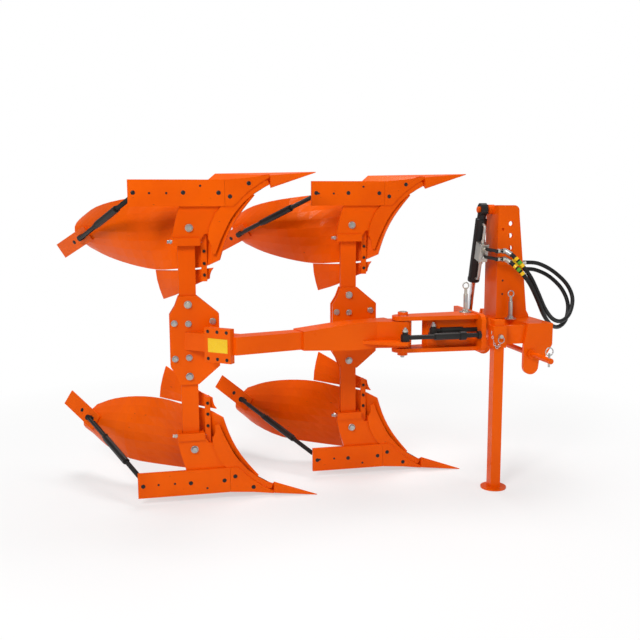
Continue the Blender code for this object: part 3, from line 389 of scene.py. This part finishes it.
def hex_bolt(shape, point, out, size, washer=True, lift=0.0):
    """Hexagon head on a washer: chamfered top, shallow dish, at a turn of its own."""
    out = Vector(out).normalized()
    turn = draw.uniform(0.0, math.pi / 3.0)
    start = Vector(point) + out * lift
    if washer:
        shape.lathe(start, out, ((0.0, size * 1.15), (size * 0.16, size * 1.15),
                                 (size * 0.2, size * 1.10)), 24)
        start = start + out * size * 0.2
    shape.lathe(start, out, ((0.0, size), (size * 0.62, size), (size * 0.76, size * 0.86),
                             (size * 0.76, size * 0.55), (size * 0.70, size * 0.50)), 6, turn)


def nut_and_end(shape, point, out, size):
    """Nut with the screw's end standing out of it."""
    hex_bolt(shape, point, out, size)
    out = Vector(out).normalized()
    shape.lathe(Vector(point) + out * size * 0.5, out,
                ((0.0, size * 0.52), (size * 0.95, size * 0.52), (size * 1.05, size * 0.44)), 16)


def dome_bolt(shape, point, out, size):
    """Countersunk plough bolt: a low round head nearly flush with the plate."""
    shape.lathe(point, out, ((0.0, size), (size * 0.10, size * 0.96), (size * 0.20, size * 0.74),
                             (size * 0.26, size * 0.40), (size * 0.27, size * 0.12)), 20)


# ---------------------------------------------------------------- bolts of the bottoms
LANDSIDE_FACE, FROG_FACE, STRAP_FACE, FROG_BACK = 0.0, 0.0123, 0.0266, 0.0266
PLOUGH_BOLTS = ((0.019, 0.074), (0.194, 0.074), (0.320, 0.075), (0.361, 0.088), (0.430, 0.041))
PLAIN_HOLE_SHADE = ((0.075, 0.076), (0.135, 0.076), (0.255, 0.050))
FROG_BOLT_X, FROG_BOLT_Z, FROG_BOLT_SIZE = 0.212, 0.200, 0.0125
FROG_NUTS = ((0.212, 0.110), (0.330, 0.085))
CLAMP_SCREWS = ((0.152, -1.0), (0.250, 1.0))
CLAMP_SCREW_Y, CLAMP_HEIGHT = 0.034, 0.250
SHIN_STRIP_FACE, SHIN_STRIP_THICKNESS = 0.0045, 0.0054
SHIN_STRIP_FRONT = ((0.304, 0.0, 0.296), (0.325, 0.0, 0.244), (0.356, 0.0, 0.181), (0.384, 0.0, 0.140),
                    (0.421, 0.0, 0.100), (0.463, 0.0, 0.069), (0.506, 0.0, 0.046))
SHIN_STRIP_BACK = ((0.500, 0.030), (0.425, 0.030), (0.390, 0.070), (0.342, 0.108), (0.306, 0.150),
                   (0.284, 0.200), (0.279, 0.240), (0.290, 0.262), (0.290, 0.290))
STRAP_X, STRAP_BOLTS = 0.2645, (0.285, 0.330, 0.372)
FRONT_HEEL_CUT = 0.046
TAIL_BOLTS = (-0.078, -0.002)                   # along the tail piece, from its middle
STAY_FOOT = (0.022, 0.024, 0.082)
STAY_THREADS = ((0.05, 0.285), (0.675, 0.90))   # screwed stretches, as shares of the stay
STAY_NUTS = (0.285, 0.662)
THREAD_PITCH, THREAD_ROOT, THREAD_CREST = 0.0036, 0.0076, 0.0090
STAY_NUT = ((0.0, 0.0125), (0.011, 0.0125), (0.012, 0.0110))


def bottom_bolts(tag, put, number):
    """Bolts, screws, and black discs of painted shade for the plain holes, on a bottom's landside, frog and
    strap.
    """
    dark = Shape(f"plough_bolts_and_hole_shade_{tag}", black, "black_steel", "beam")
    bright = Shape(f"frog_bolts_{tag}", zinc, "zinc", "beam")
    for x, z in PLOUGH_BOLTS:
        heel = FRONT_HEEL_CUT if number and x < 0.05 else 0.0
        dome_bolt(dark, put(x + heel, LANDSIDE_FACE, z), NEAR, 0.0080)
    # The plain holes are thin black discs on the landside face: painted shade in the holes.
    for x, z in PLAIN_HOLE_SHADE:
        dark.lathe(put(x, LANDSIDE_FACE - 0.0001, z), NEAR, ((0.0, 0.0042), (0.0004, 0.0042)), 14)
    hex_bolt(bright, put(FROG_BOLT_X, FROG_FACE, FROG_BOLT_Z), NEAR, FROG_BOLT_SIZE)
    for x, sideways in CLAMP_SCREWS:
        face = put(x, CLAMP_SCREW_Y, CLAMP_HEIGHT)
        bright.lathe(face, (sideways, 0.0, 0.0), ((0.0, 0.0050), (0.014, 0.0050)), 14)
        hex_bolt(bright, face + Vector((sideways * 0.004, 0.0, 0.0)), (sideways, 0.0, 0.0), 0.0080, False)
        hex_bolt(bright, face + Vector((sideways * 0.014, 0.0, 0.0)), (sideways, 0.0, 0.0), 0.0065, False)
    for z in STRAP_BOLTS:
        hex_bolt(dark, put(STRAP_X, STRAP_FACE, z), NEAR, 0.0062, washer=False)
    for x, z in FROG_NUTS:
        nut_and_end(bright, put(x, FROG_BACK, z), FAR, 0.0095)
    dark.done()
    bright.done()


def shin_strip(tag, put):
    """Strip along the front edge of the frog."""
    strip = Shape(f"shin_strip_{tag}", orange_soil, "orange_paint", "beam")
    front = [spline(SHIN_STRIP_FRONT, k / 18.0) for k in range(19)]
    outline = [put(p.x, SHIN_STRIP_FACE, p.z) for p in front]
    outline += [put(x, SHIN_STRIP_FACE, z) for x, z in SHIN_STRIP_BACK]
    strip.plate(outline, SHIN_STRIP_THICKNESS)
    strip.done()


def tail_bolts(tag):
    """Two bolts near the tail piece's inner end, on the face away from the mouldboard."""
    plate = nodes[f"tail_piece_{tag}"]
    corners = [v.co.copy() for v in plate.data.vertices]
    centre = sum(corners, Vector()) / len(corners)
    corners.sort(key=lambda c: c.y)
    half = len(corners) // 2
    faces = sorted(plate.data.polygons, key=lambda f: -f.area)
    rearward = min((f.normal.copy() for f in faces[:4]), key=lambda n: n.x)
    inner_end = sum(corners[:half], Vector()) / half
    outer_end = sum(corners[half:], Vector()) / half
    run = outer_end - inner_end
    run -= rearward * run.dot(rearward)
    run.normalize()
    face_lift = max((c - centre).dot(rearward) for c in corners)
    tail = Shape(f"tail_bolts_{tag}", black, "black_steel", "beam")
    for distance in TAIL_BOLTS:
        dome_bolt(tail, centre + run * distance + rearward * face_lift, rearward, 0.0085)
    tail.done()


def stay_threads(tag, put, number):
    """Threads and lock nuts of the stay's two screwed ends."""
    stay = nodes[f"stay_rod_{tag}"]
    foot_x, foot_y, foot_z = STAY_FOOT
    stay_start = put(foot_x + FRONT_HEEL_CUT * number, foot_y, foot_z)
    by_distance = sorted((v.co.copy() for v in stay.data.vertices),
                         key=lambda c: -(c - stay_start).length)
    stay_end = sum(by_distance[:10], Vector()) / 10
    stay_length = (stay_end - stay_start).length
    stay_along = (stay_end - stay_start).normalized()
    threads = Shape(f"stay_threads_{tag}", black, "black_steel", "beam")
    for first, last in STAY_THREADS:
        turns = int((last - first) * stay_length / THREAD_PITCH)
        profile = []
        for k in range(turns):
            offset = k * THREAD_PITCH
            profile += [(offset, THREAD_ROOT), (offset + THREAD_PITCH / 2.0, THREAD_CREST)]
        threads.lathe(stay_start + stay_along * first * stay_length, stay_along, profile, 14)
    for share in STAY_NUTS:
        threads.lathe(stay_start + stay_along * share * stay_length, stay_along, STAY_NUT, 6)
    threads.done(25.0)


for furrow, number in (("rear", 0), ("front", 1)):
    for side in ("lower", "upper"):

        def put(x, y, z):
            """Point of this bottom, mirrored for an upper one."""
            height = z if side == "lower" else MIRROR_HEIGHT - z
            return at(x, y, height) + FURROW_STEP * number

        tag = f"{furrow}_{side}"
        bottom_bolts(tag, put, number)
        shin_strip(tag, put)
        tail_bolts(tag)
        stay_threads(tag, put, number)

# ---------------------------------------------------------------- cheek plates and rear flange
CHEEK_NEAR, CHEEK_FAR = 0.0163, 0.0619
CHEEK_BOLTS = (
    # x, height above or below the shaft, size
    (0.201, 0.134, 0.0125), (0.150, 0.066, 0.0105), (0.201, 0.063, 0.0105), (0.290, 0.070, 0.0105),
)
for furrow, number in (("rear", 0), ("front", 1)):
    bolts = Shape(f"cheek_bolts_{furrow}", zinc, "zinc", "beam")
    for x, lift, size in CHEEK_BOLTS:
        for sign in (-1.0, 1.0):
            near = at(x, CHEEK_NEAR, SHAFT_HEIGHT + sign * lift) + FURROW_STEP * number
            hex_bolt(bolts, near, NEAR, size)
            nut_and_end(bolts, near + FAR * (CHEEK_FAR - CHEEK_NEAR), FAR, size * 0.95)
    bolts.done()

FLANGE_OUT = Vector((-0.643, -0.766, 0.0))
FLANGE_ALONG = Vector((0.766, -0.643, 0.0))
FLANGE_BOLT_OFFSETS, FLANGE_BOLT_LIFTS = (-0.040, 0.0, 0.040), (-0.049, 0.049)
flange_centre = Vector(next(m for m in frame["record"]["mounts"] if m["name"] == "extension_flange")["pos_m"])
flange_bolts = Shape("flange_bolts", black, "black_steel", "beam")
for offset in FLANGE_BOLT_OFFSETS:
    for lift in FLANGE_BOLT_LIFTS:
        spot = flange_centre + FLANGE_ALONG * offset + UP * lift
        flange_bolts.lathe(spot, FLANGE_OUT, ((0.0, 0.0062), (0.0012, 0.0062), (0.0018, 0.0050)), 18)
flange_bolts.done()

plate_label = Shape("flange_label", yellow, "orange_paint", "beam")
plate_label.slab(flange_centre + FLANGE_OUT * 0.0002 + FLANGE_ALONG * 0.002, FLANGE_ALONG, UP,
                 0.084, 0.050, 0.0007)
plate_label.done()

# ---------------------------------------------------------------- fork and turnbuckle pins
FORK_TOP, FORK_BOTTOM, FORK_PIN_X = 0.683, 0.543, 1.018
TURNBUCKLE_PIN, SPINDLE_PIN = (1.128, -0.040, 0.643), (1.003, -0.078, 0.6315)
TURNBUCKLE_NUT = 0.0105
pins = Shape("fork_pins", zinc, "zinc", "rotor")
hex_bolt(pins, at(FORK_PIN_X, 0.0, FORK_TOP), UP, 0.0170)
nut_and_end(pins, at(FORK_PIN_X, 0.0, FORK_BOTTOM), -UP, 0.0150)
pins.done()

eyes = Shape("turnbuckle_pins", zinc, "zinc", "rotor")
nut_and_end(eyes, at(*TURNBUCKLE_PIN), UP, TURNBUCKLE_NUT)
eyes.done()
spindle_pin = Shape("spindle_pin", zinc, "zinc", "spindle")
nut_and_end(spindle_pin, at(*SPINDLE_PIN), UP, TURNBUCKLE_NUT)
spindle_pin.done()

# ---------------------------------------------------------------- headstock pins, chain and label
MAST_NEAR_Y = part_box("mast")[0].y - base.y
HITCH_PIN = (1.490, MAST_NEAR_Y - 0.030, 0.6465)
FORK_LOCK_PIN = (1.286, 0.030, FORK_TOP)
LINK_SHAFT, LINK_PIN_REACH = (1.514, 0.145, 0.528), 0.380
MAST_HOLE_X, MAST_HOLES = 1.466, (0.745, 0.800)
MAST_LABEL_X, MAST_LABEL_Z, MAST_LABEL_SIDE = 1.518, 0.872, 0.030
hitch = Shape("hitch_pins", zinc, "zinc", "headstock")


def ring_points(centre, radius, first, second, count=28):
    """Points round a circle in the plane of first and second."""
    first, second = Vector(first), Vector(second)
    return [Vector(centre) + (first * math.cos(a) + second * math.sin(a)) * radius
            for a in (2.0 * math.pi * k / count for k in range(count))]


def drop_pin(shape, x, y, floor_z, height, ring=0.012):
    """Lock pin on a flanged seat, with a ring at its top."""
    shape.lathe(at(x, y, floor_z), UP, ((0.0, 0.024), (0.003, 0.024), (0.004, 0.0225), (0.0045, 0.013),
                                        (0.012, 0.012), (0.013, 0.0105)), 28)
    shape.lathe(at(x, y, floor_z + 0.012), UP,
                ((0.0, 0.0085), (height * 0.55, 0.0085), (height * 0.57, 0.0060),
                 (height * 0.78, 0.0055)), 18)
    top = at(x, y, floor_z + 0.012 + height * 0.78 + ring * 0.7)
    shape.sweep(ring_points(top, ring, (1, 0, 0), (0, 0, 1)), 0.0026, closed=True)


drop_pin(hitch, *HITCH_PIN, 0.105)
hitch.done()
fork_pin = Shape("fork_lock_pin", zinc, "zinc", "rotor")
drop_pin(fork_pin, *FORK_LOCK_PIN, 0.110)
fork_pin.done()

link = Shape("link_shaft_pins", zinc, "zinc", "headstock")
for sign in (-1.0, 1.0):
    middle = at(*LINK_SHAFT) + FAR * (sign * LINK_PIN_REACH)
    link.lathe(middle - UP * 0.024, UP,
               ((0.0, 0.0036), (0.001, 0.0042), (0.050, 0.0042), (0.052, 0.0034)), 14)
    link.sweep(ring_points(middle + UP * 0.034, 0.015, (1, 0, 0), (0, 0, 1)), 0.0021, closed=True)
link.done()

# The mast's holes are thin black discs on its near face: painted shade in the holes.
hole_shade_discs = Shape("mast_hole_shade", black, "black_steel", "headstock")
label_shape = Shape("mast_label", yellow, "orange_paint", "headstock")
label_shape.slab(at(MAST_LABEL_X, MAST_NEAR_Y - 0.0002, MAST_LABEL_Z), (1, 0, 0), UP,
                 MAST_LABEL_SIDE, MAST_LABEL_SIDE, 0.0006)
label_shape.done()
for z in MAST_HOLES:
    hole_shade_discs.lathe(at(MAST_HOLE_X, MAST_NEAR_Y - 0.0001, z), NEAR, ((0.0, 0.0040), (0.0004, 0.0040)), 14)
hole_shade_discs.done()

stand_pin = Shape("stand_pin_and_chain", zinc, "zinc", "headstock")
sleeve_low, sleeve_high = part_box("stand_sleeve")
pin_z = (sleeve_low.z + sleeve_high.z) / 2.0 - base.z + 0.004
sleeve_near = sleeve_low.y - base.y
stand_pin.lathe(at(STAND_CENTRE[0], sleeve_near - 0.016, pin_z), (0, 1, 0),
                ((0.0, 0.0072), (0.004, 0.0078), (0.0155, 0.0078), (0.016, 0.0068)), 18)
stand_pin.sweep(ring_points(at(STAND_CENTRE[0], sleeve_near - 0.012, pin_z - 0.013), 0.012,
                            (1, 0, 0), (0, 0, 1)), 0.0018, closed=True)
CHAIN_LINKS = 9
for k in range(CHAIN_LINKS):
    t = k / (CHAIN_LINKS - 1)
    drop = 0.020 + 0.052 * math.sin(math.pi * (0.15 + 0.75 * t))
    link_centre = at(1.366 - 0.036 * t, sleeve_near - 0.0065, pin_z + 0.016 - drop + 0.036 * t)
    wide = Vector((1, 0, 0)) if k % 2 else Vector((0.3, 0.9, 0.0)).normalized()
    loop = [link_centre + wide * (0.0034 * math.cos(a)) + Vector((0, 0, 0.0058 * math.sin(a)))
            for a in (2.0 * math.pi * j / 14 for j in range(14))]
    stand_pin.sweep(loop, 0.0011, 8, closed=True)
stand_pin.done()

# ---------------------------------------------------------------- turnover cylinder
CYLINDER_X, EYE_Y, EYE_Z, CRANK_Y = 1.398, 0.145, 1.085, 0.270
eye_point = at(CYLINDER_X, EYE_Y, EYE_Z)
crank_point = at(CYLINDER_X, CRANK_Y, SHAFT_HEIGHT)
down = (crank_point - eye_point).normalized()
outward = Vector((0.0, down.z, -down.y))
block_centre = eye_point + down * 0.165 + outward * 0.046
block = Shape("valve_block", zinc, "zinc", "barrel")
block.slab(block_centre + Vector((-0.0186, 0.0, 0.0)) + outward * -0.001, outward, down,
           0.0512, 0.0732, 0.0372)
block.done(edge=0.0018)

ports = Shape("valve_ports", zinc, "zinc", "barrel")
for distance in (-0.018, 0.018):
    hex_bolt(ports, block_centre + outward * 0.0256 + down * distance, outward, 0.0085, washer=False)
for way, reach in ((-1.0, 0.060), (1.0, 0.070)):
    ports.lathe(block_centre + down * way * 0.036, down * way,
                ((0.0, 0.0085), (0.014, 0.0085), (0.015, 0.0060), (reach, 0.0058)), 16)
ports.sweep([block_centre - down * 0.094, block_centre - down * 0.104 - outward * 0.003,
             block_centre - down * 0.110 - outward * 0.014,
             block_centre - down * 0.110 - outward * 0.026], 0.0058)
ports.sweep([block_centre + down * 0.104, block_centre + down * 0.116 - outward * 0.003,
             block_centre + down * 0.122 - outward * 0.014,
             block_centre + down * 0.122 - outward * 0.026], 0.0058)
for route in HOSE_ROUTES.values():
    outlet = at(*route[0])
    ports.lathe(outlet - Vector((0.0195, 0.0, 0.0)), (1, 0, 0),
                ((0.0, 0.0096), (0.0095, 0.0096), (0.0100, 0.0088), (0.0180, 0.0088)), 6)
ports.done()
gland = Shape("cylinder_gland", black, "black_steel", "barrel")
gland.lathe(eye_point + down * 0.290, down,
            ((0.0, 0.0240), (0.003, 0.0250), (0.015, 0.0250), (0.0185, 0.0235), (0.0190, 0.0125)), 32)
gland.done()

# ---------------------------------------------------------------- hoses, on the valve block at one end
FERRULE_RADIUS, BAND_RADIUS, BAND_LENGTH = 0.0104, 0.0090, 0.020
BAND_COLOURS = ((0.060, yellow), (0.078, green), (0.096, yellow))
for level, route in HOSE_ROUTES.items():
    line = [at(*spline(route, k / HOSE_SAMPLES)) for k in range(HOSE_SAMPLES + 1)]
    tube = Shape(f"hose_{level}_rubber", rubber, "rubber", None)
    tube.sweep(line, HOSE_DIAMETER / 2.0, 20)
    hose = tube.done(50.0)
    length = sum((b - a).length for a, b in zip(line, line[1:]))

    def along_hose(first, last):
        """Points of the hose between two distances from its start."""
        found, travelled = [], 0.0
        for a, b in zip(line, line[1:]):
            if first <= travelled <= last:
                found.append(a)
            travelled += (b - a).length
        return found

    fittings = Shape(f"hose_{level}_ferrule", zinc, "zinc", "headstock")
    end_points = along_hose(length - 0.050, length - 0.010)
    fittings.sweep(end_points, FERRULE_RADIUS, 18)
    end_ferrule = fittings.done()
    start_ferrule = Shape(f"hose_{level}_start_ferrule", zinc, "zinc", None)
    start_ferrule.sweep(along_hose(0.0015, 0.044), FERRULE_RADIUS, 18)
    bending = [start_ferrule.done()]
    for index, (distance, colour) in enumerate(BAND_COLOURS):
        band = Shape(f"hose_{level}_band_{index}", colour, "rubber", None)
        band.sweep(along_hose(distance, distance + BAND_LENGTH), BAND_RADIUS, 20)
        bending.append(band.done())
    for piece in (hose, *bending):
        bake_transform(piece)
    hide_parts(f"hose_{level}")

# ---------------------------------------------------------------- floor, backdrop and lamps
FLOOR_REACH, FLOOR_SHADOW = 9.0, 0.45
floor_data = bpy.data.meshes.new("floor")
FLOOR_CORNERS = ((-1, -1), (1, -1), (1, 1), (-1, 1))
corners = [(FLOOR_REACH * x, FLOOR_REACH * y, 0.0) for x, y in FLOOR_CORNERS]
floor_data.from_pydata(corners, [], [(0, 1, 2, 3)])
floor = bpy.data.objects.new("floor", floor_data)
floor.location.z = stand_low.z - 0.0008
bpy.context.scene.collection.objects.link(floor)


def white_behind(name, shadow_share):
    """Diffuse white; the camera and reflections see it glow, with shadows only near the middle."""
    made = bpy.data.materials.new(name)
    made.use_nodes = True
    tree = made.node_tree
    tree.nodes.clear()
    output = node_of(tree, "ShaderNodeOutputMaterial")
    plain = node_of(tree, "ShaderNodeBsdfDiffuse", Color=(0.86, 0.86, 0.86, 1.0))
    glow = node_of(tree, "ShaderNodeEmission", Color=(1.0, 1.0, 1.0, 1.0), Strength=1.0)
    seen = node_of(tree, "ShaderNodeLightPath")
    share = node_of(tree, "ShaderNodeMath", operation="MULTIPLY")
    place = node_of(tree, "ShaderNodeNewGeometry")
    distance = node_of(tree, "ShaderNodeVectorMath", operation="LENGTH")
    tree.links.new(place.outputs["Position"], distance.inputs[0])
    fade = ramp(tree, distance.outputs["Value"], 0.9, 2.3, 1.0 - shadow_share, 1.0)
    tree.links.new(fade, share.inputs[1])
    either = node_of(tree, "ShaderNodeMath", operation="MAXIMUM")
    tree.links.new(seen.outputs["Is Camera Ray"], either.inputs[0])
    tree.links.new(seen.outputs["Is Glossy Ray"], either.inputs[1])
    tree.links.new(either.outputs[0], share.inputs[0])
    blend = node_of(tree, "ShaderNodeMixShader")
    tree.links.new(share.outputs[0], blend.inputs[0])
    tree.links.new(plain.outputs[0], blend.inputs[1])
    tree.links.new(glow.outputs[0], blend.inputs[2])
    tree.links.new(blend.outputs[0], output.inputs["Surface"])
    return made


floor_data.materials.append(white_behind("floor_white", FLOOR_SHADOW))

world = bpy.data.worlds.new("studio")
bpy.context.scene.world = world
world.use_nodes = True
tree = world.node_tree
tree.nodes.clear()
output = node_of(tree, "ShaderNodeOutputWorld")
light = node_of(tree, "ShaderNodeBackground", Color=(1.0, 1.0, 1.0, 1.0), Strength=0.30)
backdrop = node_of(tree, "ShaderNodeBackground", Color=(1.0, 1.0, 1.0, 1.0), Strength=1.0)
seen = node_of(tree, "ShaderNodeLightPath")
either = node_of(tree, "ShaderNodeMath", operation="MAXIMUM")
tree.links.new(seen.outputs["Is Camera Ray"], either.inputs[0])
tree.links.new(seen.outputs["Is Transmission Ray"], either.inputs[1])
blend = node_of(tree, "ShaderNodeMixShader")
tree.links.new(either.outputs[0], blend.inputs[0])
tree.links.new(light.outputs[0], blend.inputs[1])
tree.links.new(backdrop.outputs[0], blend.inputs[2])
tree.links.new(blend.outputs[0], output.inputs["Surface"])

AREA_LIGHTS = (
    # name, place, size, watts
    ("key", (-2.4, -3.6, 3.6), 1.6, 140.0),
    ("fill", (3.8, -3.2, 2.2), 2.4, 34.0),
    ("top", (0.6, 0.9, 4.4), 2.4, 125.0),
)
for name, place, size, watts in AREA_LIGHTS:
    lamp = bpy.data.lights.new(name, "AREA")
    lamp.energy, lamp.size = watts, size
    holder = bpy.data.objects.new(name, lamp)
    holder.location = place
    holder.rotation_euler = (Vector((0.0, 0.0, 0.6)) - Vector(place)).to_track_quat("-Z", "Y").to_euler()
    bpy.context.scene.collection.objects.link(holder)
